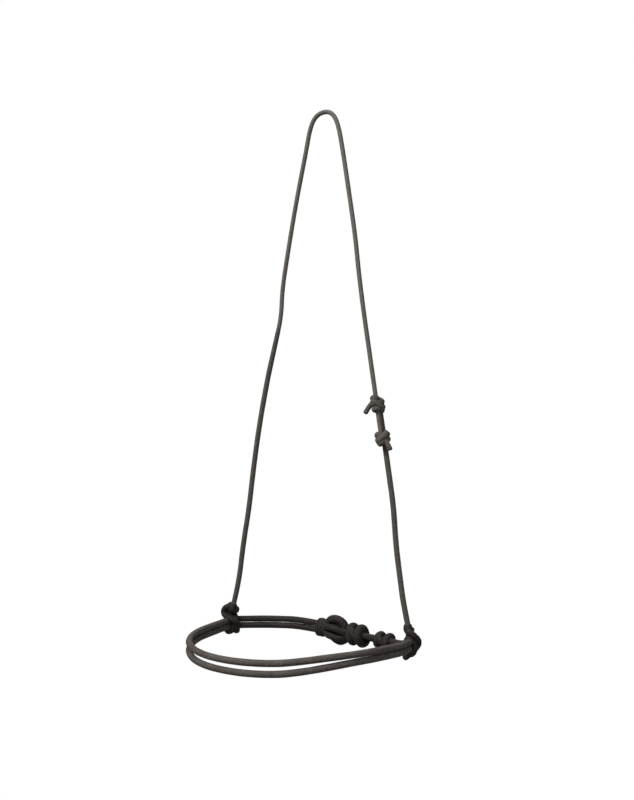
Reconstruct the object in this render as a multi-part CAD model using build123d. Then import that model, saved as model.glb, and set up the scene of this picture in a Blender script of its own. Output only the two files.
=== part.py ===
"""Rope noseband on a single-rope headpiece, for a horse: the ropes, their cores and their knots.

Millimetres, +Z up. The origin is the underside of the crown, where the rope rests behind the ears.
+X runs from one cheek knot to the other, and the nose rope goes out towards -Y.
"""
from build123d import *
import os
from math import cos, radians, tan

# Ropes
CROWN_ROPE = 5.0  # diameter of the thin rope over the crown
CHEEK_ROPE = 6.0  # diameter of the rope down each cheek
NOSE_ROPE = 7.0  # diameter of the doubled rope round the muzzle
LOOP_ROPE = 6.0  # the same rope drawn tight in the two chin loops
TAIL_ROPE = 5.0  # the rope ends that stand out of the adjusting knots
SHEATH_WALL = 1.1  # thickness of the braided cover
CORE_PLAY = 0.05  # room between a cover and its core
ARC_SHARE = 0.45  # how much of the shorter run a corner's arc may use
SPLICE_LENGTH = 40.0  # taper where the crown rope is buried in the left cheek rope
SPLICE_START = 14.0  # from the kink at its top down to the taper
CROWN_END_BELOW = 0.3  # the crown rope ends this far below the middle of the lower adjusting knot
CHEEK_END_ABOVE = 2.2  # the right cheek rope ends this far above the middle of the upper one

# Knots
SOCKET_PLAY = 0.05  # room round a rope end in its knot
SLIDE_PLAY = 0.08  # running clearance round a rope in a sliding knot
END_PLAY = 0.3  # room behind a rope end in its socket
SWING_GAP = 0.4  # room between a cheek rope's end and its cheek knot
LOBE_RADIUS = 6.5  # top turn of a cheek knot, which the swing turns about
CHEEK_KNOT_WIDTH = 19.0
CHEEK_KNOT_DEPTH = 21.0
CHEEK_TURN = 9.0  # height of one turn of a cheek knot
CHEEK_TURNS = 3
UPPER_KNOT_LENGTH = 21.5
UPPER_KNOT_WIDTH = 15.0
LOWER_KNOT_LENGTH = 17.0
LOWER_KNOT_WIDTH = 16.5
TWIN_DEPTH = 18.5  # front to back size of the two adjusting knots
COLLAR_LENGTH = 17.0
COLLAR_HEIGHT = 20.5
COLLAR_DEPTH = 15.0
INNER_BARREL_LENGTH = 24.0
INNER_BARREL_HEIGHT = 23.5
INNER_BARREL_DEPTH = 24.0
OUTER_BARREL_LENGTH = 25.0
OUTER_BARREL_HEIGHT = 16.5
OUTER_BARREL_DEPTH = 21.0
TURN_EDGE = 0.42  # edge round of one turn, as a share of its length
TURN_OVERLAP = 1.0  # how far each turn is pressed into the next
ADJUSTING_LEAN = 14.0  # how far the turns of each knot lean off square, in degrees
CHEEK_LEAN = 6.0
COLLAR_LEAN = 8.0
BARREL_LEAN = 7.0

# Places
SWING_Z = -544.5  # height of the axis that the noseband swings about
LEFT_LOBE = Vector(-119, 0, SWING_Z)
RIGHT_LOBE = Vector(98, 0, SWING_Z)
LEFT_KNOT = Vector(-121, 0, -561)
RIGHT_KNOT = Vector(101.5, 0, -560)
COLLAR = Vector(-18, 29, -561.5)  # middle of the chin collar
CHIN_AIM = Vector(63, 15.5, -564)  # the chin fittings lie on the line from the collar to here
INNER_BARREL_AT = 47.5  # along that line, from the collar
OUTER_BARREL_AT = 82.5
PAIR_END_AT = 108.0  # the right pair turns here towards its cheek knot
EYE_END_AT = 31.0
EYE_CROWN_AT = 27.0  # where the eye is tallest
EYE_SHOULDER_AT = 18.8
EYE_ROOT_AT = 12.8
EYE_HALF_HEIGHT = 10.2
EYE_SHOULDER_HALF = 9.4
EYE_END_HALF = 4.0
LINK_BEND_BACK = 12.2  # the link's bend lies this far inside the eye
LINK_WIDE_PAST = 0.5  # and the link is widest this far outside it
LINK_NECK = 7.5  # from the inner barrel back to where the link opens
LINK_OPENING = 0.9  # how much wider than the rope its half opening is
LINK_BEND_SHARE = 0.6  # half width of the bend, as a share of the half opening
NOSE_END_OUT = 4.5  # the nose ropes end this far in front of a cheek knot's middle
RIGHT_NOSE_END_ALONG = 0.5
LEFT_CHIN_END = Vector(4.5, 4.0, 0)  # ends of the chin ropes, from the middle of their knot
RIGHT_CHIN_END = Vector(-3.5, 4.0, -1.5)
UPPER_KNOT_Z = -312.5
LOWER_KNOT_Z = -348.0

# Spacing of doubled ropes, centre to centre
TWIN_GAP = 0.3
PAIR_GAP = 0.25
TWIN_SPACING = (CROWN_ROPE + CHEEK_ROPE) / 2 + TWIN_GAP
PAIR_SPACING = NOSE_ROPE + PAIR_GAP

# Routes, each a list of points chosen by hand; the crown's starts at the kink above the splice
CROWN_ROUTE = [
    (-54.8, 0, -216), (-53.6, 0, -186), (-46.2, 0, -145), (-38.4, 0, -104), (-31.0, 0, -70),
    (-23.6, 0, -38), (-18.8, 0, -14), (-13.0, 0, -1.5), (-3.5, 0, 3.6), (7.5, 0, 2.2),
    (15.0, 0, -8.5), (20.4, 0, -33), (29.0, 0, -86), (36.6, 0, -134), (40.4, 0, -171),
    (46.6, 0, -216),
]
TWIN_TOP = Vector(53.6, 0, -260)  # the straight stretch that the adjusting knots slide along
TWIN_FOOT = Vector(73.2, 0, -386)
LEFT_CHEEK_ROUTE = [
    (-72.2, 0, -283), (-83.4, 0, -336), (-92.0, 0, -391), (-97.0, 0, -430), (-105.0, 0, -472),
    (-110.6, 0, -515),
]
RIGHT_CHEEK_ROUTE = [(78.8, 5.0, -420), (82.0, 3.6, -459), (88.4, 1.2, -497), (92.2, 0, -519)]
# Middle of the doubled nose rope, and how far each strand stands off the other's edge at each point
NOSE_ROUTE = [
    (-122, -36, -561.5, 0.2), (-120.5, -65, -561.5, 0.3), (-113, -90, -562, 0.5),
    (-100, -111.5, -563.5, 1.1), (-79, -128.5, -565.5, 1.5), (-51, -138.5, -566.5, 1.6),
    (-15, -142, -566, 1.7), (20, -137.5, -564, 1.7), (43, -127.5, -561, 1.5),
    (65.5, -115.5, -557, 1.0), (85, -101, -554, 0.2), (96, -77, -554.5, 0.1),
    (99.5, -50, -557, 0.1), (102.5, -23, -559.5, 0.1),
]
CHIN_LEFT_ROUTE = [(-98, 16.5, -561), (-75, 28.0, -561)]
CHIN_LEFT_END = -31.0  # where the left pair comes into line with the collar
UPPER_TAIL_ROUTE = [(-4.4, -3.5, 1.5), (-8.6, -4.5, -3.5), (-11.4, -4.5, -10.5)]
LOWER_TAIL_ROUTE = [(4.0, -4.0, -3.0), (7.4, -4.5, -7.5), (8.6, -4.0, -14.0)]


def unit(vector):
    """A vector's direction, one long."""
    return vector * (1 / vector.length)


def rope_path(points, name):
    """Straight runs joined by tangent arcs, each arc as large as its two runs allow."""
    corners = [Vector(*point) for point in points]
    radii = []
    for before, here, after in zip(corners, corners[1:], corners[2:]):
        turn = (here - before).get_angle(after - here)
        shorter = min((here - before).length, (after - here).length)
        radii.append(ARC_SHARE * shorter / tan(radians(turn / 2)))
    if radii:
        print(name, "radii", [round(radius, 1) for radius in radii])
        return FilletPolyline(*corners, radius=radii)
    return Line(corners[0], corners[1])


def tube(points, outer, name, inner=0.0):
    """A rope of round section along a route, hollow where it holds a core."""
    path = rope_path(points, name)
    section_plane = Plane(origin=path @ 0, z_dir=path % 0)
    section = Circle(outer / 2) - Circle(inner / 2) if inner else Circle(outer / 2)
    rope = sweep(section_plane * section, path=path)
    area = (section_plane * section).area
    print(name, "length %.1f" % path.length, "volume share %.4f" % (rope.volume / area / path.length))
    return rope


def covered_rope(points, diameter, name):
    """A rope as its two pieces: the braided cover and the core inside it."""
    bore = diameter - 2 * SHEATH_WALL
    return {
        name: tube(points, diameter, name, bore),
        name + "_core": tube(points, bore - 2 * CORE_PLAY, name + "_core"),
    }


def round_taper(start, end, length):
    """A rope that changes thickness evenly along Z; its two ends may also be equally thick."""
    half = length / 2
    outline = Polyline((0, 0, -half), (start / 2, 0, -half), (end / 2, 0, half), (0, 0, half), close=True)
    return revolve(make_face(outline), Axis.Z)


def channel(start, end, diameter):
    """The round way of a rope through or into a knot."""
    middle = (start + end) * 0.5
    way = Cylinder(diameter / 2, (end - start).length)
    return Plane(origin=middle, z_dir=end - start) * way


def turned_knot(count, length, width, depth, lean):
    """Rope turns pressed side by side along Z: rounded discs, each leaning the same way."""
    turn = length / count
    disc = fillet(Cylinder(width / 2, turn + TURN_OVERLAP).edges(), turn * TURN_EDGE)
    disc = scale(disc, by=(1, depth / width, 1))
    first = -(length - turn) / 2
    turns = [Pos(0, 0, first + turn * index) * Rot(0, lean, 0) * disc for index in range(count)]
    knot = turns[0]
    for turn_of_rope in turns[1:]:
        knot = knot + turn_of_rope
    return knot


def beside(points, offset):
    """The same route, moved sideways."""
    return [Vector(*point) + offset for point in points]


def twin_line(height):
    """The point of the straight adjusting stretch at a height."""
    share = (height - TWIN_TOP.Z) / (TWIN_FOOT.Z - TWIN_TOP.Z)
    return TWIN_TOP + (TWIN_FOOT - TWIN_TOP) * share


TWIN_SIDE = Vector(0, TWIN_SPACING, 0)
TWIN_AXIS = unit(TWIN_TOP - TWIN_FOOT)
CHIN_AXIS = unit(CHIN_AIM - COLLAR)
CHIN_BACK = unit(Vector(0, 0, 1).cross(CHIN_AXIS))
CHIN_UP = CHIN_AXIS.cross(CHIN_BACK)
STRAND_UP = Vector(0, 0, PAIR_SPACING / 2)
LINK_LEAN = 25.0  # the right pair's two strands lie this far off level, in degrees


def chin_point(along, back=0.0, up=0.0):
    """A point of the chin fittings, measured from the middle of the collar."""
    return COLLAR + CHIN_AXIS * along + CHIN_BACK * back + CHIN_UP * up


def pair_side(way):
    """From the middle of the right pair to its back strand, for a pair that runs this way."""
    back = unit(Vector(0, 0, 1).cross(way))
    up = way.cross(back)
    return unit(back - up * tan(radians(LINK_LEAN))) * (PAIR_SPACING / 2)


LINK_SIDE = pair_side(CHIN_AXIS)


def headpiece():
    """Crown rope, splice and cheek ropes, with the ends that lie inside the adjusting knots."""
    crown_end = twin_line(LOWER_KNOT_Z - CROWN_END_BELOW)
    kink = Vector(*CROWN_ROUTE[0])
    splice_way = unit(Vector(*LEFT_CHEEK_ROUTE[0]) - kink)
    splice_start = kink + splice_way * SPLICE_START
    crown_route = [splice_start] + [Vector(*point) for point in CROWN_ROUTE] + [TWIN_TOP, crown_end]
    nodes = covered_rope(crown_route, CROWN_ROPE, "crown_rope")

    splice_end = splice_start + splice_way * SPLICE_LENGTH
    taper = round_taper(CROWN_ROPE, CHEEK_ROPE, SPLICE_LENGTH)
    middle = (splice_start + splice_end) * 0.5
    nodes["left_splice"] = Plane(origin=middle, z_dir=splice_way) * taper

    left_last = Vector(*LEFT_CHEEK_ROUTE[-1])
    left_end = LEFT_LOBE + unit(left_last - LEFT_LOBE) * (LOBE_RADIUS + SWING_GAP)
    left_route = [splice_end] + [Vector(*point) for point in LEFT_CHEEK_ROUTE] + [left_end]
    nodes.update(covered_rope(left_route, CHEEK_ROPE, "left_cheek_rope"))

    right_last = Vector(*RIGHT_CHEEK_ROUTE[-1])
    right_end = RIGHT_LOBE + unit(right_last - RIGHT_LOBE) * (LOBE_RADIUS + SWING_GAP)
    right_start = twin_line(UPPER_KNOT_Z + CHEEK_END_ABOVE) + TWIN_SIDE
    right_route = [right_start, TWIN_FOOT + TWIN_SIDE]
    right_route += [Vector(*point) for point in RIGHT_CHEEK_ROUTE] + [right_end]
    nodes.update(covered_rope(right_route, CHEEK_ROPE, "right_cheek_rope"))
    return nodes


def adjusting_knot(height, length, width, lean, tail_route):
    """A knot that slides along both ropes of the straight stretch, and its short tail."""
    place = Plane(origin=twin_line(height) + TWIN_SIDE * 0.5, x_dir=(1, 0, 0), z_dir=TWIN_AXIS)
    knot = place * turned_knot(2, length, width, TWIN_DEPTH, lean)
    reach = TWIN_AXIS * length
    for side, rope in ((Vector(0, 0, 0), CROWN_ROPE), (TWIN_SIDE, CHEEK_ROPE)):
        middle = twin_line(height) + side
        knot = knot - channel(middle - reach, middle + reach, rope + 2 * SLIDE_PLAY)
    tail_points = [place.from_local_coords(point) for point in tail_route]
    tail = tube(tail_points, TAIL_ROPE, "tail") - knot
    return knot, tail.solids().sort_by(SortBy.VOLUME)[-1]


def cheek_knot(lobe, middle, sockets):
    """A cheek knot: its round top turn, the turns below it and a socket for each nose rope end."""
    length = CHEEK_TURN * CHEEK_TURNS
    body = turned_knot(CHEEK_TURNS, length, CHEEK_KNOT_WIDTH, CHEEK_KNOT_DEPTH, CHEEK_LEAN)
    knot = Pos(middle) * body + Pos(lobe) * Sphere(LOBE_RADIUS)
    for start, toward in sockets:
        way = unit(toward - start)
        mouth = start + way * CHEEK_KNOT_DEPTH
        knot = knot - channel(start - way * END_PLAY, mouth, NOSE_ROPE + 2 * SOCKET_PLAY)
    return knot


def nose_ropes():
    """The two strands over the nose, one above the other, from cheek knot to cheek knot."""
    routes = {}
    for name, side in (("nose_upper_rope", 1), ("nose_lower_rope", -1)):
        first = LEFT_KNOT + Vector(0, -NOSE_END_OUT, side * PAIR_SPACING / 2)
        last = RIGHT_KNOT + Vector(RIGHT_NOSE_END_ALONG, -NOSE_END_OUT, side * PAIR_SPACING / 2)
        points = [Vector(x, y, z + side * (NOSE_ROPE / 2 + gap)) for x, y, z, gap in NOSE_ROUTE]
        routes[name] = [first] + points + [last]
    return routes


def chin_ropes():
    """The doubled chin rope: the left pair to the collar and the right pair from the link."""
    routes = {}
    for name, side in (("chin_left_upper_rope", 1), ("chin_left_lower_rope", -1)):
        first = LEFT_KNOT + LEFT_CHIN_END + STRAND_UP * side
        points = beside(CHIN_LEFT_ROUTE, STRAND_UP * side)
        in_line = chin_point(CHIN_LEFT_END, 0, side * PAIR_SPACING / 2)
        routes[name] = [first] + points + [in_line, chin_point(0, 0, side * PAIR_SPACING / 2)]
    knot_end = RIGHT_KNOT + RIGHT_CHIN_END
    end_side = pair_side(unit(knot_end - chin_point(PAIR_END_AT)))
    half_turn = radians(LINK_SIDE.get_angle(end_side) / 2)
    turn_side = unit(LINK_SIDE + end_side) * (PAIR_SPACING / 2 / cos(half_turn))
    for name, side in (("chin_right_front_rope", -1), ("chin_right_back_rope", 1)):
        start = chin_point(INNER_BARREL_AT) + LINK_SIDE * side
        turn = chin_point(PAIR_END_AT) + turn_side * side
        routes[name] = [start, turn, knot_end + end_side * side]
    return routes


def eye_route():
    """The bight that stands out of the collar as an upright eye."""
    profile = [
        (END_PLAY, PAIR_SPACING / 2), (EYE_ROOT_AT, PAIR_SPACING / 2), (EYE_SHOULDER_AT, EYE_SHOULDER_HALF),
        (EYE_CROWN_AT, EYE_HALF_HEIGHT), (EYE_END_AT, EYE_END_HALF),
    ]
    above = [chin_point(along, 0, height) for along, height in profile]
    below = [chin_point(along, 0, -height) for along, height in reversed(profile)]
    return above + below


def link_route():
    """The bight of the right pair, which passes through the eye and lies across it."""
    wide = unit(LINK_SIDE) * (NOSE_ROPE + LINK_OPENING)
    near = wide * LINK_BEND_SHARE
    bend = chin_point(EYE_END_AT - LINK_BEND_BACK)
    widest = chin_point(EYE_END_AT + LINK_WIDE_PAST)
    neck = chin_point(INNER_BARREL_AT - LINK_NECK)
    end = chin_point(INNER_BARREL_AT - END_PLAY)
    front = [end - LINK_SIDE, neck - LINK_SIDE, widest - wide, bend - near]
    back = [bend + near, widest + wide, neck + LINK_SIDE, end + LINK_SIDE]
    return front + back


def chin_knot(along, count, length, height, depth, lean, ways):
    """Turns wrapped round the two strands of the chin rope, with a way through for each."""
    place = Plane(origin=chin_point(along), x_dir=CHIN_UP, z_dir=CHIN_AXIS)
    knot = place * turned_knot(count, length, height, depth, lean)
    reach = CHIN_AXIS * length
    for side, diameter in ways:
        middle = chin_point(along) + side
        knot = knot - channel(middle - reach, middle + reach, diameter)
    return knot


def noseband():
    """Everything that swings at the cheek knots, apart from the sliding chin knot."""
    nodes = {}
    routes = nose_ropes() | chin_ropes()
    for name, route in routes.items():
        nodes.update(covered_rope(route, NOSE_ROPE, name))
    nodes.update(covered_rope(eye_route(), LOOP_ROPE, "chin_eye_loop"))
    nodes.update(covered_rope(link_route(), LOOP_ROPE, "chin_link_loop"))
    left = [(route[0], route[1]) for name, route in routes.items() if "right" not in name]
    right = [(route[-1], route[-2]) for name, route in routes.items() if "left" not in name]
    nodes["left_cheek_knot"] = cheek_knot(LEFT_LOBE, LEFT_KNOT, left)
    nodes["right_cheek_knot"] = cheek_knot(RIGHT_LOBE, RIGHT_KNOT, right)
    socket = max(NOSE_ROPE, LOOP_ROPE) + 2 * SOCKET_PLAY
    strands = [(CHIN_UP * (side * PAIR_SPACING / 2), socket) for side in (1, -1)]
    nodes["chin_collar_knot"] = chin_knot(
        0, 2, COLLAR_LENGTH, COLLAR_HEIGHT, COLLAR_DEPTH, COLLAR_LEAN, strands)

    ways = [(LINK_SIDE * side, socket) for side in (1, -1)]
    inner = chin_knot(
        INNER_BARREL_AT, 2, INNER_BARREL_LENGTH, INNER_BARREL_HEIGHT, INNER_BARREL_DEPTH,
        -BARREL_LEAN, ways)
    for route in (eye_route(), link_route()):
        inner = inner - tube(route, LOOP_ROPE + 2 * SOCKET_PLAY, "room for a loop")
    nodes["inner_barrel_knot"] = inner.solids().sort_by(SortBy.VOLUME)[-1]
    return nodes


def outer_barrel():
    """The barrel knot that slides along the right pair."""
    ways = [(LINK_SIDE * side, NOSE_ROPE + 2 * SLIDE_PLAY) for side in (1, -1)]
    return chin_knot(
        OUTER_BARREL_AT, 3, OUTER_BARREL_LENGTH, OUTER_BARREL_HEIGHT, OUTER_BARREL_DEPTH,
        BARREL_LEAN, ways)


def write_parts(nodes):
    """One STEP file for each node."""
    os.makedirs("parts", exist_ok=True)
    for name, shape in nodes.items():
        [solid] = shape.solids()
        export_step(solid, "parts/%s.step" % name)


nodes = headpiece()
nodes["upper_adjusting_knot"], nodes["upper_knot_tail"] = adjusting_knot(
    UPPER_KNOT_Z, UPPER_KNOT_LENGTH, UPPER_KNOT_WIDTH, ADJUSTING_LEAN, UPPER_TAIL_ROUTE)
nodes["lower_adjusting_knot"], nodes["lower_knot_tail"] = adjusting_knot(
    LOWER_KNOT_Z, LOWER_KNOT_LENGTH, LOWER_KNOT_WIDTH, -ADJUSTING_LEAN, LOWER_TAIL_ROUTE)
nodes.update(noseband())
nodes["outer_barrel_knot"] = outer_barrel()
write_parts(nodes)
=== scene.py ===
"""Rope noseband on a single-rope headpiece: braided ropes, tied knots, their materials and the stage."""

from math import cos, pi, radians, sin, tan

import bpy
import numpy as np
from bpy.props import FloatProperty, FloatVectorProperty, IntProperty, PointerProperty
from mathutils import Matrix, Vector


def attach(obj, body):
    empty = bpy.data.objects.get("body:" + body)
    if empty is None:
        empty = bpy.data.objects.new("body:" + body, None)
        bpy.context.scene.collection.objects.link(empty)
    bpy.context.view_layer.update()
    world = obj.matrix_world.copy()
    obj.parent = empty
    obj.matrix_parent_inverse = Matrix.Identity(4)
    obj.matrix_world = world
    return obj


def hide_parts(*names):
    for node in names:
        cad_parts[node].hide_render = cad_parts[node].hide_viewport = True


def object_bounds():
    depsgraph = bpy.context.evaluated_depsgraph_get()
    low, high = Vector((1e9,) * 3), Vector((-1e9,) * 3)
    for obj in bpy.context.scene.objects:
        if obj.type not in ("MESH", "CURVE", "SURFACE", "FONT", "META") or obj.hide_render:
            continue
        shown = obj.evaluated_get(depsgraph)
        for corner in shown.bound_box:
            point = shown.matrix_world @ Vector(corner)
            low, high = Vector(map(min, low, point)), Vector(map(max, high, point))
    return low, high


bl_info = {
    "name": "Rope Noseband",
    "version": (1, 0, 0),
    "blender": (4, 5, 0),
    "location": "View3D > Sidebar > Tack",
    "description": "Makes a braided rope noseband and its knots round a loaded frame",
    "category": "Object",
}

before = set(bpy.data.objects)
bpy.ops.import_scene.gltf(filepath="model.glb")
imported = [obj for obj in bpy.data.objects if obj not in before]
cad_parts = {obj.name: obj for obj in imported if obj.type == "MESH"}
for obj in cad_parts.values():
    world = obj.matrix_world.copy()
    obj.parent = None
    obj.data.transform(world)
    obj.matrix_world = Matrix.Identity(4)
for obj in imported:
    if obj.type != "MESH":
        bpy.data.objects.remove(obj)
CAD_BOX = [list(corner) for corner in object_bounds()]

MM = 0.001

# Places, as in the part's own source
TWIN_TOP = Vector((0.0536, 0, -0.260))
TWIN_FOOT = Vector((0.0732, 0, -0.386))
LEFT_LOBE = Vector((-0.119, 0, -0.5445))
RIGHT_LOBE = Vector((0.098, 0, -0.5445))
LEFT_KNOT = Vector((-0.121, 0, -0.561))
RIGHT_KNOT = Vector((0.1015, 0, -0.560))
LEFT_NOSE_END = Vector((0, -0.0045, 0))  # ends of the noseband's ropes, from the middle of their knot
RIGHT_NOSE_END = Vector((0.0005, -0.0045, 0))
LEFT_CHIN_END = Vector((0.0045, 0.004, 0))
RIGHT_CHIN_END = Vector((-0.0035, 0.004, -0.0015))
COLLAR = Vector((-0.018, 0.029, -0.5615))
CHIN_AIM = Vector((0.063, 0.0155, -0.564))
INNER_BARREL_AT = 0.0475
OUTER_BARREL_AT = 0.0825
PAIR_END_AT = 0.108
EYE_END_AT = 0.031
UPPER_KNOT_Z = -0.3125
LOWER_KNOT_Z = -0.348
SPLICE_START = 0.014
SPLICE_END = 0.054
CROWN_END_BELOW = 0.3 * MM  # the crown rope ends this far below the middle of the lower knot
CHEEK_END_ABOVE = 2.2 * MM  # the right cheek rope ends this far above the middle of the upper knot
TWIN_SPACING = 0.0058
PAIR_SPACING = 0.00725
PAIR_BEND = 0.012  # the right chin pair turns from this far before its end
LINK_LEAN = 25.0  # degrees
LINK_ROOM = 0.9 * MM  # the link's half width goes past the nose rope by this much
LINK_BEND_BACK = 0.0122  # the link's places, from the end of the eye and from the inner barrel
LINK_WIDEST_AFTER = 0.5 * MM
LINK_NECK_BEFORE = 7.5 * MM
LINK_END_BEFORE = 0.3 * MM

# Rope routes, in metres
CROWN_ROUTE = [
    (-0.0548, 0, -0.216), (-0.0536, 0, -0.186), (-0.0462, 0, -0.145), (-0.0384, 0, -0.104),
    (-0.0310, 0, -0.070), (-0.0236, 0, -0.038), (-0.0188, 0, -0.014), (-0.0130, 0, -0.0015),
    (-0.0035, 0, 0.0036), (0.0075, 0, 0.0022), (0.0150, 0, -0.0085), (0.0204, 0, -0.033),
    (0.0290, 0, -0.086), (0.0366, 0, -0.134), (0.0404, 0, -0.171), (0.0466, 0, -0.216),
]
LEFT_CHEEK_ROUTE = [
    (-0.0722, 0, -0.283), (-0.0834, 0, -0.336), (-0.0920, 0, -0.391), (-0.0970, 0, -0.430),
    (-0.1050, 0, -0.472), (-0.1106, 0, -0.515),
]
RIGHT_CHEEK_ROUTE = [
    (0.0788, 0.005, -0.420), (0.0820, 0.0036, -0.459), (0.0884, 0.0012, -0.497), (0.0922, 0, -0.519),
]
NOSE_ROUTE = [
    (-0.122, -0.036, -0.5615, 0.0037), (-0.1205, -0.065, -0.5615, 0.0038),
    (-0.113, -0.090, -0.562, 0.0040), (-0.100, -0.1115, -0.5635, 0.0046),
    (-0.079, -0.1285, -0.5655, 0.0050), (-0.051, -0.1385, -0.5665, 0.0051),
    (-0.015, -0.142, -0.566, 0.0052), (0.020, -0.1375, -0.564, 0.0052),
    (0.043, -0.1275, -0.561, 0.0050), (0.0655, -0.1155, -0.557, 0.0045),
    (0.085, -0.101, -0.554, 0.0037), (0.096, -0.077, -0.5545, 0.0036),
    (0.0995, -0.050, -0.557, 0.0036), (0.1025, -0.023, -0.5595, 0.0036),
]
CHIN_LEFT_ROUTE = [(-0.098, 0.0165, -0.561), (-0.075, 0.028, -0.561)]
CHIN_LEFT_END = -0.031
# The upper half of the eye, as places along the chin axis and up from it. The lower half mirrors it.
EYE_ROUTE = [
    (0.0003, PAIR_SPACING / 2), (0.0128, PAIR_SPACING / 2), (0.0188, 0.0094), (0.027, 0.0102),
    (EYE_END_AT, 0.004),
]
UPPER_TAIL = [(-4.4, -3.5, 2.5), (-9.4, -5.0, -2.0), (-13.6, -6.0, -8.0)]
LOWER_TAIL = [(4.0, -4.0, -3.0), (7.4, -4.5, -7.5), (8.6, -4.0, -14.0)]

# The studio
VIEW_AZIMUTH = 28.6  # degrees round from the front
VIEW_CENTRE = Vector((-0.0098, 0, -0.308))
VIEW_DISTANCE = 1.085
FLOOR_DROP = 0.16  # the floor lies this far below the noseband
SWEEP_REACH = 2.2
SWEEP_BEND = 1.6
DAYLIGHT = 0.42

RING_SEGMENTS = 40
LAY_SHARE = 0.92  # the braid's lay, as a share of one strand's width round the rope
# Brightening of the crests, as wear and painted highlight, and share of dust, for each kind of yarn
YARN_LOOKS = {"crown": (2.3, 0.42), "cheek": (2.1, 0.24), "nose": (2.3, 0.30), "knots": (2.2, 0.06)}

TWIN_AXIS = (TWIN_TOP - TWIN_FOOT).normalized()
TWIN_SIDE = Vector((0, TWIN_SPACING, 0))
CHIN_AXIS = (CHIN_AIM - COLLAR).normalized()
CHIN_BACK = Vector((0, 0, 1)).cross(CHIN_AXIS).normalized()
CHIN_UP = CHIN_AXIS.cross(CHIN_BACK)


def pair_side(way):
    """From the middle of the right chin pair to its back strand."""
    back = Vector((0, 0, 1)).cross(way).normalized()
    lean = back - way.cross(back) * tan(radians(LINK_LEAN))
    return lean.normalized() * (PAIR_SPACING / 2)


LINK_SIDE = pair_side(CHIN_AXIS)


def chin_point(along, back=0.0, up=0.0):
    """A point of the chin fittings, measured from the middle of the collar."""
    return COLLAR + CHIN_AXIS * along + CHIN_BACK * back + CHIN_UP * up


def twin_line(height):
    """The point of the straight adjusting stretch at a height."""
    share = (height - TWIN_TOP.z) / (TWIN_FOOT.z - TWIN_TOP.z)
    return TWIN_TOP.lerp(TWIN_FOOT, share)


def splice_point(along):
    """A point of the straight splice, measured down from the kink above it."""
    kink = Vector(CROWN_ROUTE[0])
    return kink + (Vector(LEFT_CHEEK_ROUTE[0]) - kink).normalized() * along


# Settings that a maker would change

class RopeSizes(bpy.types.PropertyGroup):
    """Sizes of the ropes and of their braid."""
    crown: FloatProperty(
        name="Crown rope", description="Diameter of the rope over the poll",
        default=0.005, unit="LENGTH")
    cheek: FloatProperty(
        name="Cheek rope", description="Diameter of the rope down each cheek",
        default=0.006, unit="LENGTH")
    nose: FloatProperty(
        name="Nose rope", description="Diameter of the doubled rope round the muzzle",
        default=0.007, unit="LENGTH")
    loop: FloatProperty(
        name="Loop rope", description="Diameter of the rope drawn tight in the chin loops",
        default=0.006, unit="LENGTH")
    strands: IntProperty(
        name="Braid strands", description="Strands that run each way round a rope", default=8, min=4)
    ring_step: FloatProperty(
        name="Ring step", description="Distance between two rings of the rope's mesh",
        default=0.00042, unit="LENGTH")
    relief: FloatProperty(
        name="Braid relief", description="Depth of the braid as a share of the rope's radius",
        default=0.115, subtype="FACTOR")


class RopeColours(bpy.types.PropertyGroup):
    """Colours of the yarns."""
    crown: FloatVectorProperty(
        name="Crown yarn", description="Yarn colour of the crown rope",
        subtype="COLOR", default=(0.066, 0.060, 0.054))
    cheek: FloatVectorProperty(
        name="Cheek yarn", description="Yarn colour of the cheek ropes",
        subtype="COLOR", default=(0.046, 0.041, 0.037))
    nose: FloatVectorProperty(
        name="Nose yarn", description="Yarn colour of the noseband",
        subtype="COLOR", default=(0.038, 0.032, 0.0285))
    # The knot yarn is set far darker than the nose yarn as painted shade; the knots, chin ropes, eye and
    # link all carry it.
    knots: FloatVectorProperty(
        name="Knot yarn", description="Yarn colour of the knots",
        subtype="COLOR", default=(0.0105, 0.0085, 0.0078))
    backdrop: FloatVectorProperty(
        name="Backdrop", description="Colour of the lit floor and backdrop",
        subtype="COLOR", default=(1.0, 1.0, 1.0))
    bounce: FloatVectorProperty(
        name="Bounce", description="Colour that the floor throws back on the ropes",
        subtype="COLOR", default=(0.20, 0.19, 0.18))


# Materials

def add_node(tree, kind, **sockets):
    """A shader node with its input values set."""
    node = tree.nodes.new(kind)
    for name, value in sockets.items():
        node.inputs[name.replace("_", " ")].default_value = value
    return node


def show_to_camera(tree, seen, unseen, output):
    """Gives the camera one shader and every other ray another."""
    mix = tree.nodes.new("ShaderNodeMixShader")
    tree.links.new(tree.nodes.new("ShaderNodeLightPath").outputs["Is Camera Ray"], mix.inputs["Fac"])
    tree.links.new(unseen, mix.inputs[1])
    tree.links.new(seen, mix.inputs[2])
    tree.links.new(mix.outputs["Shader"], tree.nodes[output].inputs["Surface"])


def yarn_attribute(tree, name):
    """The factor of a rope mesh's own attribute."""
    node = tree.nodes.new("ShaderNodeAttribute")
    node.attribute_name = name
    return node.outputs["Fac"]


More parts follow.
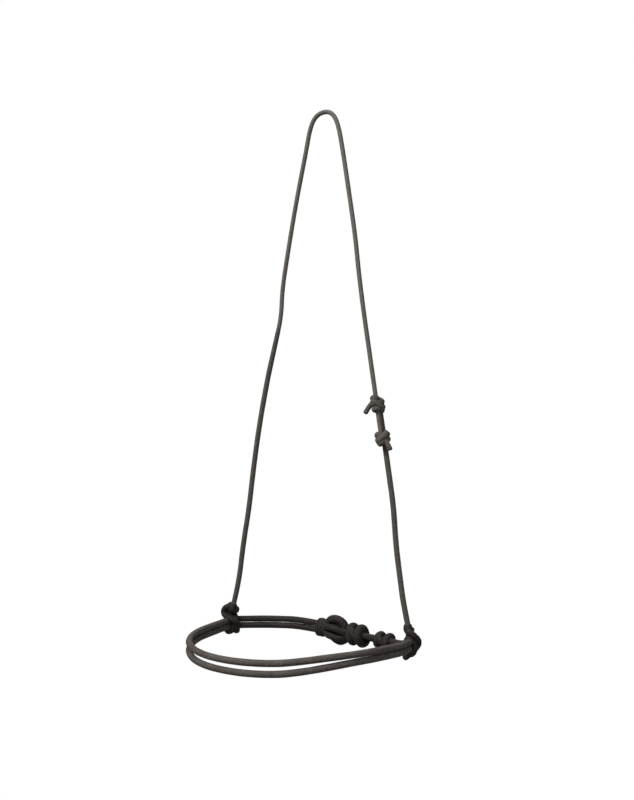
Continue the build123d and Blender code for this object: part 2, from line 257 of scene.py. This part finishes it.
def braided_yarn(name, colour, crest_wear_and_painted_highlight, dust):
    """Braided polyester: painted shade between strands, crests paler as wear and painted highlight, fine
    filaments and a soft sheen.
    """
    material = bpy.data.materials.new(name)
    material.use_nodes = True
    tree = material.node_tree
    shader = tree.nodes["Principled BSDF"]
    shader.inputs["Roughness"].default_value = 0.62
    shader.inputs["Specular IOR Level"].default_value = 0.18
    shader.inputs["Sheen Weight"].default_value = 0.03
    shader.inputs["Sheen Roughness"].default_value = 0.45
    shader.inputs["Sheen Tint"].default_value = (0.75, 0.73, 0.70, 1)

    place = tree.nodes.new("ShaderNodeTexCoord").outputs["Object"]
    base = Vector(colour)
    # By the braid's height: painted shade in the grooves between strands, crests paler as wear and
    # painted highlight.
    ramp = tree.nodes.new("ShaderNodeValToRGB")
    ramp.color_ramp.elements[0].position = 0.12
    ramp.color_ramp.elements[0].color = (*(base * 0.10), 1)
    ramp.color_ramp.elements[1].position = 0.98
    ramp.color_ramp.elements[1].color = (*(base * crest_wear_and_painted_highlight), 1)
    middle = ramp.color_ramp.elements.new(0.55)
    middle.color = (*base, 1)
    tree.links.new(yarn_attribute(tree, "relief"), ramp.inputs["Fac"])

    cloud = add_node(tree, "ShaderNodeTexNoise", Scale=38.0, Detail=4.0, Roughness=0.6)
    tree.links.new(place, cloud.inputs["Vector"])
    dusty = tree.nodes.new("ShaderNodeMapRange")
    dusty.inputs["From Min"].default_value = 0.42
    dusty.inputs["From Max"].default_value = 0.75
    dusty.inputs["To Max"].default_value = dust
    tree.links.new(cloud.outputs["Fac"], dusty.inputs["Value"])
    faded = tree.nodes.new("ShaderNodeMix")
    faded.data_type = "RGBA"
    faded.inputs["B"].default_value = (0.15, 0.137, 0.122, 1)
    tree.links.new(dusty.outputs["Result"], faded.inputs["Factor"])
    tree.links.new(ramp.outputs["Color"], faded.inputs["A"])

    strand = tree.nodes.new("ShaderNodeMapRange")
    strand.inputs["To Min"].default_value = 0.82
    strand.inputs["To Max"].default_value = 1.18
    tree.links.new(yarn_attribute(tree, "tone"), strand.inputs["Value"])
    toned = tree.nodes.new("ShaderNodeVectorMath")
    toned.operation = "SCALE"
    tree.links.new(faded.outputs["Result"], toned.inputs[0])
    tree.links.new(strand.outputs["Result"], toned.inputs["Scale"])
    tree.links.new(toned.outputs["Vector"], shader.inputs["Base Color"])

    filament = tree.nodes.new("ShaderNodeMath")
    filament.operation = "SINE"
    turns = tree.nodes.new("ShaderNodeMath")
    turns.operation = "MULTIPLY"
    turns.inputs[1].default_value = 2 * pi * 5
    tree.links.new(yarn_attribute(tree, "yarn"), turns.inputs[0])
    tree.links.new(turns.outputs["Value"], filament.inputs[0])
    fuzz = add_node(tree, "ShaderNodeTexNoise", Scale=2600.0, Detail=3.0, Roughness=0.7)
    tree.links.new(place, fuzz.inputs["Vector"])
    rough = tree.nodes.new("ShaderNodeMath")
    rough.operation = "MULTIPLY_ADD"
    rough.inputs[1].default_value = 0.35
    tree.links.new(filament.outputs["Value"], rough.inputs[0])
    tree.links.new(fuzz.outputs["Fac"], rough.inputs[2])
    bump = add_node(tree, "ShaderNodeBump", Strength=0.4, Distance=0.00022)
    tree.links.new(rough.outputs["Value"], bump.inputs["Height"])
    tree.links.new(bump.outputs["Normal"], shader.inputs["Normal"])
    return material


def sealed_end():
    """The hard glossy skin of a rope end that was melted shut."""
    material = bpy.data.materials.new("sealed_rope_end")
    material.use_nodes = True
    tree = material.node_tree
    shader = tree.nodes["Principled BSDF"]
    shader.inputs["Roughness"].default_value = 0.32
    noise = add_node(tree, "ShaderNodeTexNoise", Scale=900.0, Detail=3.0)
    tree.links.new(tree.nodes.new("ShaderNodeTexCoord").outputs["Object"], noise.inputs["Vector"])
    ramp = tree.nodes.new("ShaderNodeValToRGB")
    ramp.color_ramp.elements[0].color = (0.008, 0.007, 0.006, 1)
    ramp.color_ramp.elements[1].color = (0.045, 0.040, 0.034, 1)
    tree.links.new(noise.outputs["Fac"], ramp.inputs["Fac"])
    tree.links.new(ramp.outputs["Color"], shader.inputs["Base Color"])
    bump = add_node(tree, "ShaderNodeBump", Strength=0.5, Distance=0.0003)
    tree.links.new(noise.outputs["Fac"], bump.inputs["Height"])
    tree.links.new(bump.outputs["Normal"], shader.inputs["Normal"])
    return material


def yarn(kind):
    """The yarn material of a kind of rope, made once."""
    name = kind + "_braid"
    colours = bpy.context.scene.tack_colours
    found = bpy.data.materials.get(name)
    return found or braided_yarn(name, getattr(colours, kind), *YARN_LOOKS[kind])


# Rope meshes

def smooth_line(points):
    """The points of a NURBS spline through a route's control points, in metres."""
    curve = bpy.data.curves.new("route", "CURVE")
    curve.dimensions = "3D"
    curve.resolution_u = 24
    spline = curve.splines.new("NURBS")
    spline.points.add(len(points) - 1)
    for point, place in zip(spline.points, points):
        point.co = (*place, 1)
    spline.order_u = 3
    spline.use_endpoint_u = True
    holder = bpy.data.objects.new("route", curve)
    bpy.context.scene.collection.objects.link(holder)
    graph = bpy.context.evaluated_depsgraph_get()
    mesh = bpy.data.meshes.new_from_object(holder.evaluated_get(graph))
    line = np.array([vertex.co[:] for vertex in mesh.vertices])
    bpy.data.meshes.remove(mesh)
    bpy.data.objects.remove(holder)
    bpy.data.curves.remove(curve)
    keep = np.ones(len(line), bool)
    keep[1:] = np.linalg.norm(np.diff(line, axis=0), axis=1) > 1e-7
    return line[keep]


def rings_along(line, step):
    """Evenly spaced points of a smooth line, with a direction and a steady side at each."""
    runs = np.linalg.norm(np.diff(line, axis=0), axis=1)
    along = np.concatenate([[0], np.cumsum(runs)])
    count = max(8, int(along[-1] / step))
    at = np.linspace(0, along[-1], count)
    centres = np.stack([np.interp(at, along, line[:, axis]) for axis in range(3)], axis=1)
    ways = np.gradient(centres, axis=0)
    ways /= np.linalg.norm(ways, axis=1)[:, None]
    side = np.cross(ways[0], (0.31, 0.86, 0.41))
    sides = np.empty_like(centres)
    for index, way in enumerate(ways):
        side = side - way * side.dot(way)
        side = side / np.linalg.norm(side)
        sides[index] = side
    return at, centres, sides, np.cross(ways, sides)


def braid_pattern(around, along, strands, lay):
    """Height, strand tone and across-strand place of a two-over, two-under round braid."""
    left = strands * around + along / lay
    right = strands * around - along / lay
    left_index, right_index = np.floor(left), np.floor(right)
    left_arch = np.sqrt(np.clip(1 - (2 * (left - left_index) - 1) ** 2, 0, 1))
    right_arch = np.sqrt(np.clip(1 - (2 * (right - right_index) - 1) ** 2, 0, 1))
    left_ride = 0.5 + 0.5 * np.sin(pi / 2 * (right + left_index))
    right_ride = 0.5 - 0.5 * np.sin(pi / 2 * (left + right_index))
    left_height = 0.5 * left_ride + 0.5 * left_arch
    right_height = 0.5 * right_ride + 0.5 * right_arch
    on_top = left_height > right_height
    height = np.where(on_top, left_height, right_height)
    across = np.where(on_top, left - left_index, right - right_index)
    number = np.where(on_top, left_index % (2 * strands), 31 + right_index % (2 * strands))
    tone = np.modf(np.abs(np.sin(number * 12.9898) * 43758.5453))[0]
    return height, tone, across


def braid_tube(line, diameter, taper=None, sealed=False):
    """Vertices, faces and braid attributes of a rope along a smooth line.

    A taper gives the diameter at the start, 4 mm in, 16 % of the way along and at the end.
    """
    sizes = bpy.context.scene.tack_sizes
    at, centres, sides, backs = rings_along(line, sizes.ring_step)
    segments = RING_SEGMENTS
    angles = np.arange(segments) / segments
    around, along = np.meshgrid(angles, at)
    lay = pi * diameter / sizes.strands * LAY_SHARE
    height, tone, across = braid_pattern(around, along, sizes.strands, lay)
    radius = np.full(len(at), diameter / 2)
    if taper is not None:
        radius = np.interp(at, [0, 0.004, at[-1] * 0.16, at[-1]], taper) / 2
    if sealed:
        radius = radius * np.interp(at[-1] - at, [0, 0.0006, 0.0016, 0.003], [0.62, 0.93, 1.06, 1.0])
    waver = 1 + 0.012 * np.sin(at / 0.0117) * np.sin(at / 0.0043 + 1.3)
    reach = (radius * waver)[:, None] * (1 - sizes.relief * (1 - height))
    turn = 2 * pi * around
    offset = (
        sides[:, None, :] * (np.cos(turn) * reach)[:, :, None]
        + backs[:, None, :] * (np.sin(turn) * reach)[:, :, None])
    vertices = (centres[:, None, :] + offset).reshape(-1, 3)
    ring = np.arange(len(at) - 1)[:, None] * segments
    here = np.arange(segments)[None, :]
    there = (here + 1) % segments
    faces = np.stack([ring + here, ring + there, ring + there + segments, ring + here + segments],
                     axis=2).reshape(-1, 4)
    return {
        "vertices": np.concatenate([vertices, centres[:1], centres[-1:]]),
        "faces": faces, "rings": len(at), "segments": segments, "sealed": sealed,
        "relief": np.concatenate([height.ravel(), [0.3, 0.3]]),
        "tone": np.concatenate([tone.ravel(), [0.4, 0.4]]),
        "yarn": np.concatenate([across.ravel(), [0.5, 0.5]]),
    }


def rope_object(name, tubes, material):
    """One object from one or more rope tubes, with closed ends and the braid's attributes."""
    vertices, faces, sealed_faces = [], [], []
    values = {"relief": [], "tone": [], "yarn": []}
    start = 0
    for tube in tubes:
        segments, last = tube["segments"], (tube["rings"] - 1) * tube["segments"]
        first_pole = start + len(tube["vertices"]) - 2
        faces += (tube["faces"] + start).tolist()
        for index in range(segments):
            after = (index + 1) % segments
            faces.append([first_pole, start + after, start + index])
            if tube["sealed"]:
                sealed_faces.append(len(faces))
            faces.append([first_pole + 1, start + last + index, start + last + after])
        if tube["sealed"]:
            skin = int(0.0014 / bpy.context.scene.tack_sizes.ring_step) * segments
            body = len(tube["faces"])
            offset = len(faces) - 2 * segments - body
            sealed_faces += list(range(offset + body - skin, offset + body))
        vertices.append(tube["vertices"])
        for key in values:
            values[key].append(tube[key])
        start += len(tube["vertices"])
    mesh = bpy.data.meshes.new(name)
    mesh.from_pydata(np.concatenate(vertices).tolist(), [], faces)
    for key, parts in values.items():
        mesh.attributes.new(key, "FLOAT", "POINT").data.foreach_set("value", np.concatenate(parts))
    mesh.polygons.foreach_set("use_smooth", [True] * len(faces))
    mesh.materials.append(material)
    if sealed_faces:
        mesh.materials.append(bpy.data.materials.get("sealed_rope_end") or sealed_end())
        for index in sealed_faces:
            mesh.polygons[index].material_index = 1
    mesh.update()
    rope = bpy.data.objects.new(name, mesh)
    bpy.context.scene.collection.objects.link(rope)
    return rope


def free_rope(name, route, diameter, kind, body, nodes, taper=None):
    """A rope between two knots: its mesh, and the CAD nodes that it stands for, which it hides."""
    line = smooth_line(route)
    rope = rope_object(name, [braid_tube(line, diameter, taper)], yarn(kind))
    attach(rope, body)
    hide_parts(*nodes)


# Knots

HULL = 1.08  # a round NURBS turn of eight points lies this much inside them


def wound_turns(turns, length, half_x, half_y, rope, lean=0.0, begin=0.0, tuck=0.35):
    """Control points of a rope wound round the local Z axis, with both ends tucked in."""
    points = []
    steps = int(turns * 8)
    run = length - rope
    reach_x, reach_y = (half_x - rope / 2) * HULL, (half_y - rope / 2) * HULL
    for index in range(steps + 1):
        turn = begin + 2 * pi * index / 8
        x, y = cos(turn) * reach_x, sin(turn) * reach_y
        z = -run / 2 + run * index / steps + x * tan(radians(lean))
        points.append(Vector((x, y, z)))
    first, last = points[0], points[-1]
    points.insert(0, Vector((first.x * tuck, first.y * tuck, first.z + rope * 0.3)))
    points.append(Vector((last.x * tuck, last.y * tuck, last.z - rope * 0.3)))
    return points


def riding_strand(half_x, half_y, rope, low, high, begin, sweep):
    """Control points of a strand that crosses over the turns on a slant."""
    points = []
    for index in range(7):
        share = index / 6
        turn = begin + radians(sweep) * share
        swell = 1.0 if 0 < index < 6 else 0.55
        x = cos(turn) * (half_x - rope / 2) * swell * 1.05
        y = sin(turn) * (half_y - rope / 2) * swell * 1.05
        points.append(Vector((x, y, low + (high - low) * share)))
    return points


def knot_frame(origin, x_way, z_way):
    """The turn and the origin of a knot's own frame."""
    z = z_way.normalized()
    x = (x_way - z * x_way.dot(z)).normalized()
    y = z.cross(x)
    return Matrix((x, y, z)).transposed().to_4x4(), origin


def tied(frame_pair, points, rope, sealed=False):
    """A rope tube along control points given in millimetres in a knot's own frame."""
    turn, origin = frame_pair
    placed = [origin + turn @ (Vector(point) * MM) for point in points]
    return braid_tube(smooth_line(placed), rope * MM, sealed=sealed)


def knot_object(name, tubes, body, node, kind="knots"):
    """A knot made from its tubes, riding on its body in place of its CAD node."""
    knot = rope_object(name, tubes, yarn(kind))
    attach(knot, body)
    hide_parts(node)


# Operators

class TACK_OT_crown_rope(bpy.types.Operator):
    """Makes the thin rope over the crown"""
    bl_idname = "tack.crown_rope"
    bl_label = "Crown rope"

    def execute(self, context):
        route = [splice_point(SPLICE_START)] + [Vector(point) for point in CROWN_ROUTE]
        route += [TWIN_TOP, twin_line(LOWER_KNOT_Z - CROWN_END_BELOW)]
        free_rope("crown_rope_braid", route, context.scene.tack_sizes.crown, "crown", "headpiece",
                  ["crown_rope", "crown_rope_core"])
        return {"FINISHED"}


class TACK_OT_cheek_ropes(bpy.types.Operator):
    """Makes the cheek ropes, the left one with the splice that swallows the crown rope"""
    bl_idname = "tack.cheek_ropes"
    bl_label = "Cheek ropes"

    def execute(self, context):
        sizes = context.scene.tack_sizes
        left = [splice_point(SPLICE_START), splice_point(SPLICE_END)]
        left += [Vector(point) for point in LEFT_CHEEK_ROUTE] + [LEFT_LOBE]
        swallow = [sizes.crown * 0.98, sizes.crown * 1.08, sizes.cheek, sizes.cheek]
        free_rope("left_cheek_braid", left, sizes.cheek, "cheek", "headpiece",
                  ["left_splice", "left_cheek_rope", "left_cheek_rope_core"],
                  taper=swallow)
        right = [twin_line(UPPER_KNOT_Z + CHEEK_END_ABOVE) + TWIN_SIDE, TWIN_FOOT + TWIN_SIDE]
        right += [Vector(point) for point in RIGHT_CHEEK_ROUTE] + [RIGHT_LOBE]
        free_rope("right_cheek_braid", right, sizes.cheek, "cheek", "headpiece",
                  ["right_cheek_rope", "right_cheek_rope_core"])
        return {"FINISHED"}


class TACK_OT_nose_ropes(bpy.types.Operator):
    """Makes the two strands over the nose"""
    bl_idname = "tack.nose_ropes"
    bl_label = "Nose ropes"

    def execute(self, context):
        for name, side in (("nose_upper", 1), ("nose_lower", -1)):
            up = Vector((0, 0, side * PAIR_SPACING / 2))
            route = [LEFT_KNOT + LEFT_NOSE_END + up]
            route += [Vector((x, y, z + side * half)) for x, y, z, half in NOSE_ROUTE]
            route.append(RIGHT_KNOT + RIGHT_NOSE_END + up)
            free_rope(name + "_braid", route, context.scene.tack_sizes.nose, "nose", "noseband",
                      [name + "_rope", name + "_rope_core"])
        return {"FINISHED"}


class TACK_OT_chin_ropes(bpy.types.Operator):
    """Makes the doubled chin rope, its upright eye and the link through it"""
    bl_idname = "tack.chin_ropes"
    bl_label = "Chin ropes"

    def execute(self, context):
        sizes = context.scene.tack_sizes
        half = PAIR_SPACING / 2
        # The chin ropes take the knot yarn, which is darkened as painted shade.
        for name, side in (("chin_left_upper", 1), ("chin_left_lower", -1)):
            up = Vector((0, 0, side * half))
            route = [LEFT_KNOT + LEFT_CHIN_END + up]
            route += [Vector(point) + up for point in CHIN_LEFT_ROUTE]
            route += [chin_point(CHIN_LEFT_END, 0, side * half), chin_point(0, 0, side * half)]
            free_rope(name + "_braid", route, sizes.nose, "knots", "noseband",
                      [name + "_rope", name + "_rope_core"])
        self.right_pair(sizes)
        self.loops(sizes)
        return {"FINISHED"}

    def right_pair(self, sizes):
        """The two strands from the inner barrel to the right cheek knot."""
        knot_end = RIGHT_KNOT + RIGHT_CHIN_END
        end_side = pair_side((knot_end - chin_point(PAIR_END_AT)).normalized())
        half_turn = LINK_SIDE.angle(end_side) / 2
        turn_side = (LINK_SIDE + end_side).normalized() * (PAIR_SPACING / 2 / cos(half_turn))
        for name, side in (("chin_right_front", -1), ("chin_right_back", 1)):
            route = [
                chin_point(INNER_BARREL_AT) + LINK_SIDE * side,
                chin_point(PAIR_END_AT - PAIR_BEND) + LINK_SIDE * side,
                chin_point(PAIR_END_AT) + turn_side * side,
                knot_end + end_side * side,
            ]
            free_rope(name + "_braid", route, sizes.nose, "knots", "noseband",
                      [name + "_rope", name + "_rope_core"])

    def loops(self, sizes):
        """The upright eye of the left pair and the right pair's link through it."""
        eye = [chin_point(along, 0, up) for along, up in EYE_ROUTE]
        eye += [chin_point(along, 0, -up) for along, up in reversed(EYE_ROUTE)]
        free_rope("chin_eye_braid", eye, sizes.loop, "knots", "noseband",
                  ["chin_eye_loop", "chin_eye_loop_core"])
        wide = LINK_SIDE.normalized() * (sizes.nose + LINK_ROOM)
        bend = chin_point(EYE_END_AT - LINK_BEND_BACK)
        widest = chin_point(EYE_END_AT + LINK_WIDEST_AFTER)
        neck = chin_point(INNER_BARREL_AT - LINK_NECK_BEFORE)
        end = chin_point(INNER_BARREL_AT - LINK_END_BEFORE)
        link = [
            end - LINK_SIDE, neck - LINK_SIDE, widest - wide, bend - wide * 0.6,
            bend + wide * 0.6, widest + wide, neck + LINK_SIDE, end + LINK_SIDE,
        ]
        free_rope("chin_link_braid", link, sizes.loop, "knots", "noseband",
                  ["chin_link_loop", "chin_link_loop_core"])


class TACK_OT_adjusting_knots(bpy.types.Operator):
    """Makes the two sliding knots of the headpiece and their sealed tails"""
    bl_idname = "tack.adjusting_knots"
    bl_label = "Adjusting knots"

    def execute(self, context):
        middle = TWIN_SIDE * 0.5
        upper = knot_frame(twin_line(UPPER_KNOT_Z) + middle, Vector((1, 0, 0)), TWIN_AXIS)
        tubes = [
            tied(upper, wound_turns(2.6, 21.5, 7.2, 9.2, 7.2, -14, 2.0), 7.2),
            tied(upper, riding_strand(8.2, 9.8, 6.2, 7.0, -7.5, -2.4, 150), 6.2),
        ]
        knot_object("upper_adjusting_wraps", tubes,
                    "upper_knot", "upper_adjusting_knot", "cheek")
        knot_object("upper_tail_end", [tied(upper, UPPER_TAIL, 5.4, sealed=True)],
                    "upper_knot", "upper_knot_tail", "cheek")

        lower = knot_frame(twin_line(LOWER_KNOT_Z) + middle, Vector((1, 0, 0)), TWIN_AXIS)
        tubes = [
            tied(lower, wound_turns(2.1, 17.5, 8.2, 9.2, 7.2, 18, 4.2), 7.2),
            tied(lower, riding_strand(8.8, 10.0, 6.4, -5.0, 5.5, -2.6, 165), 6.4),
        ]
        knot_object("lower_adjusting_wraps", tubes,
                    "lower_knot", "lower_adjusting_knot", "cheek")
        knot_object("lower_tail_end", [tied(lower, LOWER_TAIL, 5.4, sealed=True)],
                    "lower_knot", "lower_knot_tail", "cheek")
        return {"FINISHED"}


class TACK_OT_cheek_knots(bpy.types.Operator):
    """Makes the two cheek knots, each with a top turn on the swing line, two wraps and a slant strand"""
    bl_idname = "tack.cheek_knots"
    bl_label = "Cheek knots"

    def execute(self, context):
        left_slant = [
            (3.0, 0.0, 18.5), (-2.0, -3.5, 19.5), (-7.5, -3.0, 17.0), (-9.0, -2.0, 11.0),
            (-5.0, -6.5, 7.5), (2.5, -9.5, 5.0), (8.0, -7.0, 0.5), (8.2, -0.5, -5.5),
            (3.5, 5.5, -9.0), (-3.5, 5.0, -8.5), (-6.5, -1.0, -6.0), (-3.5, -5.0, -1.0),
        ]
        right_slant = [
            (-5.0, 3.0, 14.0), (-4.5, -4.0, 15.0), (1.5, -7.0, 11.0), (6.6, -5.0, 5.5),
            (7.2, 0.0, 0.0), (4.8, 5.5, -5.5), (-0.5, 5.5, -10.5), (-6.5, 2.0, -13.5),
            (-6.5, -4.5, -12.5), (-1.5, -7.0, -7.0), (2.5, -5.0, -1.0),
        ]
        self.tie("left_cheek_wraps", "left_cheek_knot", LEFT_LOBE, LEFT_KNOT,
                 left_slant, Vector((0.83, 0.55, 0)), 5.2, 6.7)
        self.tie("right_cheek_wraps", "right_cheek_knot", RIGHT_LOBE, RIGHT_KNOT,
                 right_slant, Vector((-0.79, 0.61, 0)), 3.0, 5.5)
        return {"FINISHED"}

    def tie(self, name, node, lobe, middle, slant, chin_way, wrap_at, top_size):
        """One cheek knot. The chin wrap lies wrap_at mm from its middle, along the chin ropes."""
        top = knot_frame(lobe, Vector((0, 1, 0)), Vector((1, 0, 0)))
        quarter = knot_frame(middle, Vector((0.88, 0.48, 0)), Vector((0, 0, 1)))
        nose_wrap = knot_frame(middle + Vector((0, -4.0, -1.5)) * MM,
                               Vector((1, 0, 0)), Vector((0, 1, 0)))
        chin_wrap = knot_frame(middle + chin_way * wrap_at * MM + Vector((0, 0, -1.0)) * MM,
                               Vector((0, 0, 1)), chin_way)
        heart = [(-2.5, 0.0, 15.0), (-1.5, -0.5, 7.0), (-1.0, -1.0, 0.0), (0.0, 0.0, -8.0)]
        tubes = [
            tied(top, wound_turns(1.9, 2 * top_size, top_size, top_size, top_size * 0.95, 4, 0.6, 0.2),
                 top_size * 0.95),
            tied(nose_wrap, wound_turns(1.25, 8.5, 8.0, 11.2, 6.6, 6, 1.2), 6.6),
            tied(chin_wrap, wound_turns(1.3, 8.5, 11.6, 8.8, 6.6, -5, 2.4), 6.6),
            tied(quarter, slant, 6.4),
            tied(quarter, heart, 9.0),
        ]
        knot_object(name, tubes, "noseband", node)


def barrel(place, spread, half_up, half_deep, rope, lean, begin):
    """Two bold turns round the chin rope and the strand that joins them behind."""
    turns = []
    for side in (-1, 1):
        around = wound_turns(1.12, rope + 2.4, half_up, half_deep, rope, lean, begin + 0.5 * side, 0.5)
        turns.append(tied(place, [point + Vector((0, 0, side * spread)) for point in around], rope))
    join = [
        (half_up * 0.55, half_deep * 0.35, -spread), (half_up * 0.40, half_deep * 0.62, -spread * 0.4),
        (-half_up * 0.10, half_deep * 0.66, spread * 0.4), (-half_up * 0.50, half_deep * 0.35, spread),
    ]
    turns.append(tied(place, join, rope * 0.8))
    return turns


class TACK_OT_chin_knots(bpy.types.Operator):
    """Makes the collar, the bulk of the eye knot and the two barrel knots of the chin rope"""
    bl_idname = "tack.chin_knots"
    bl_label = "Chin knots"

    def execute(self, context):
        collar = knot_frame(chin_point(0), CHIN_UP, CHIN_AXIS)
        tubes = [
            tied(collar, wound_turns(2.3, 17.5, 10.4, 8.0, 7.0, 8, 0.4), 7.0),
            tied(collar, riding_strand(10.4, 8.4, 5.6, 6.0, -6.0, -2.0, 160), 5.6),
        ]
        knot_object("collar_wraps", tubes, "noseband", "chin_collar_knot")
        self.eye_hitch()

        inner = knot_frame(chin_point(INNER_BARREL_AT), CHIN_UP, CHIN_AXIS)
        tubes = barrel(inner, 5.9, 12.4, 12.2, 9.6, -8, 3.6)
        knot_object("inner_barrel_wraps", tubes, "noseband", "inner_barrel_knot")

        outer = knot_frame(chin_point(OUTER_BARREL_AT), CHIN_UP, CHIN_AXIS)
        tubes = barrel(outer, 5.9, 9.4, 10.8, 8.8, 7, 3.4)
        knot_object("outer_barrel_wraps", tubes, "outer_barrel", "outer_barrel_knot")
        return {"FINISHED"}

    def eye_hitch(self):
        """The rope drawn round the eye: a fat crescent over it, a level strand and two slack turns."""
        place = knot_frame(chin_point(0.0205), CHIN_UP, CHIN_AXIS)
        crescent = [
            (-3.0, -1.0, -11.0), (4.5, 1.0, -12.0), (11.5, 2.5, -9.0), (13.8, 3.0, 0.5),
            (11.0, 2.5, 9.0), (3.5, 1.5, 13.0), (-5.0, 0.5, 11.0), (-4.5, -1.0, 3.0),
        ]
        level = [
            (1.5, 3.0, -14.5), (4.6, 9.0, -10.5), (5.4, 11.0, -1.0), (3.8, 10.2, 8.0), (0.0, 4.5, 14.0),
        ]
        slack = [
            (-1.0, 1.0, -15.0), (-4.2, 7.0, -9.5), (-4.4, 9.4, -1.0), (-6.2, 7.6, 7.5),
            (-3.0, 1.0, 16.5),
        ]
        under = [
            (-1.5, -2.0, -15.0), (-7.5, -1.0, -9.0), (-11.0, 1.0, -0.5), (-11.5, 0.5, 8.0),
            (-3.0, -1.0, 17.0),
        ]
        behind = [(2.0, -1.0, -15.5), (2.0, -8.6, -8.0), (-1.0, -9.8, 1.0), (-1.0, -1.5, 16.5)]
        upper_heart = [(5.5, 0.0, -9.5), (6.5, 0.0, 0.0), (5.0, 0.0, 9.0)]
        lower_heart = [(-3.5, 0.0, -9.5), (-5.5, 0.0, 0.0), (-4.5, 0.0, 9.0)]
        strands = (
            (crescent, 9.2), (upper_heart, 8.6), (lower_heart, 9.0), (level, 7.2), (slack, 8.4),
            (under, 7.6), (behind, 7.4),
        )
        tubes = [tied(place, points, rope) for points, rope in strands]
        hitch = rope_object("eye_hitch", tubes, yarn("knots"))
        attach(hitch, "noseband")


class TACK_OT_stage(bpy.types.Operator):
    """Makes the pale floor and backdrop, the soft lights and the camera"""
    bl_idname = "tack.stage"
    bl_label = "Stage"

    def execute(self, context):
        low, high = (Vector(corner) for corner in CAD_BOX)
        self.backdrop(context, low)
        self.lights(context, (low + high) / 2)
        self.camera(context)
        context.scene.view_settings.view_transform = "Standard"
        return {"FINISHED"}

    def backdrop(self, context, low):
        """A floor that curves up into a wall, square to the camera."""
        floor_z = low.z - FLOOR_DROP
        outline = [(-6.0, floor_z), (SWEEP_REACH, floor_z)]
        outline += [
            (SWEEP_REACH + SWEEP_BEND * sin(radians(turn)),
             floor_z + SWEEP_BEND - SWEEP_BEND * cos(radians(turn)))
            for turn in range(6, 91, 6)]
        outline.append((SWEEP_REACH + SWEEP_BEND, 7.0))
        turn_to_camera = Matrix.Rotation(radians(VIEW_AZIMUTH), 4, "Z")
        vertices = [turn_to_camera @ Vector((x, y, z)) for y, z in outline for x in (-7, 7)]
        faces = [(2 * n, 2 * n + 1, 2 * n + 3, 2 * n + 2) for n in range(len(outline) - 1)]
        mesh = bpy.data.meshes.new("studio_sweep")
        mesh.from_pydata([vertex[:] for vertex in vertices], [], faces)
        mesh.polygons.foreach_set("use_smooth", [True] * len(faces))
        paper = bpy.data.materials.new("lit_paper")
        paper.use_nodes = True
        tree = paper.node_tree
        shader = tree.nodes["Principled BSDF"]
        shader.inputs["Base Color"].default_value = (*context.scene.tack_colours.bounce, 1)
        shader.inputs["Roughness"].default_value = 0.95
        glow = add_node(tree, "ShaderNodeEmission", Strength=1.0)
        glow.inputs["Color"].default_value = (*context.scene.tack_colours.backdrop, 1)
        show_to_camera(tree, glow.outputs["Emission"], shader.outputs["BSDF"], "Material Output")
        mesh.materials.append(paper)
        sweep = bpy.data.objects.new("studio_sweep", mesh)
        context.scene.collection.objects.link(sweep)

    def lights(self, context, centre):
        """Soft light from all round and three area lamps."""
        world = bpy.data.worlds.new("studio_light")
        world.use_nodes = True
        tree = world.node_tree
        light = tree.nodes["Background"]
        light.inputs["Color"].default_value = (1, 1, 1, 1)
        light.inputs["Strength"].default_value = DAYLIGHT
        surround = add_node(tree, "ShaderNodeBackground", Strength=1.0)
        surround.inputs["Color"].default_value = (*context.scene.tack_colours.backdrop, 1)
        show_to_camera(tree, surround.outputs["Background"], light.outputs["Background"], "World Output")
        context.scene.world = world
        for name, place, size, power in (
            ("key", (-0.7, -1.3, 1.7), 0.8, 62.0),
            ("fill", (1.9, -1.0, 0.3), 1.4, 7.0),
            ("back", (-0.7, 1.7, 1.2), 1.4, 12.0),
        ):
            data = bpy.data.lights.new(name, "AREA")
            data.size = size
            data.energy = power
            lamp = bpy.data.objects.new(name, data)
            lamp.location = centre + Vector(place)
            lamp.rotation_euler = (-Vector(place)).to_track_quat("-Z", "Y").to_euler()
            context.scene.collection.objects.link(lamp)

    def camera(self, context):
        """A level camera that looks at the middle of the whole noseband."""
        azimuth = radians(VIEW_AZIMUTH)
        data = bpy.data.cameras.new("camera")
        data.sensor_width = 36.0
        data.lens = 45.0
        eye = bpy.data.objects.new("camera", data)
        eye.location = VIEW_CENTRE + Vector((sin(azimuth), -cos(azimuth), 0)) * VIEW_DISTANCE
        eye.rotation_euler = (pi / 2, 0, azimuth)
        context.scene.collection.objects.link(eye)
        context.scene.camera = eye


class TACK_PT_panel(bpy.types.Panel):
    """Lists the pieces of the noseband"""
    bl_label = "Rope noseband"
    bl_idname = "TACK_PT_panel"
    bl_space_type = "VIEW_3D"
    bl_region_type = "UI"
    bl_category = "Tack"

    def draw(self, context):
        for settings in (context.scene.tack_sizes, context.scene.tack_colours):
            box = self.layout.box()
            for name in settings.__annotations__:
                box.prop(settings, name)
        for operator in OPERATORS:
            self.layout.operator(operator.bl_idname)


OPERATORS = (
    TACK_OT_crown_rope, TACK_OT_cheek_ropes, TACK_OT_nose_ropes, TACK_OT_chin_ropes,
    TACK_OT_adjusting_knots, TACK_OT_cheek_knots, TACK_OT_chin_knots, TACK_OT_stage,
)
CLASSES = (RopeSizes, RopeColours, *OPERATORS, TACK_PT_panel)


def register():
    for item in CLASSES:
        bpy.utils.register_class(item)
    bpy.types.Scene.tack_sizes = PointerProperty(type=RopeSizes)
    bpy.types.Scene.tack_colours = PointerProperty(type=RopeColours)


def unregister():
    del bpy.types.Scene.tack_colours
    del bpy.types.Scene.tack_sizes
    for item in reversed(CLASSES):
        bpy.utils.unregister_class(item)


def main():
    """Makes every piece and the stage."""
    register()
    for operator in OPERATORS:
        group, name = operator.bl_idname.split(".")
        getattr(getattr(bpy.ops, group), name)()


if __name__ == "__main__":
    main()
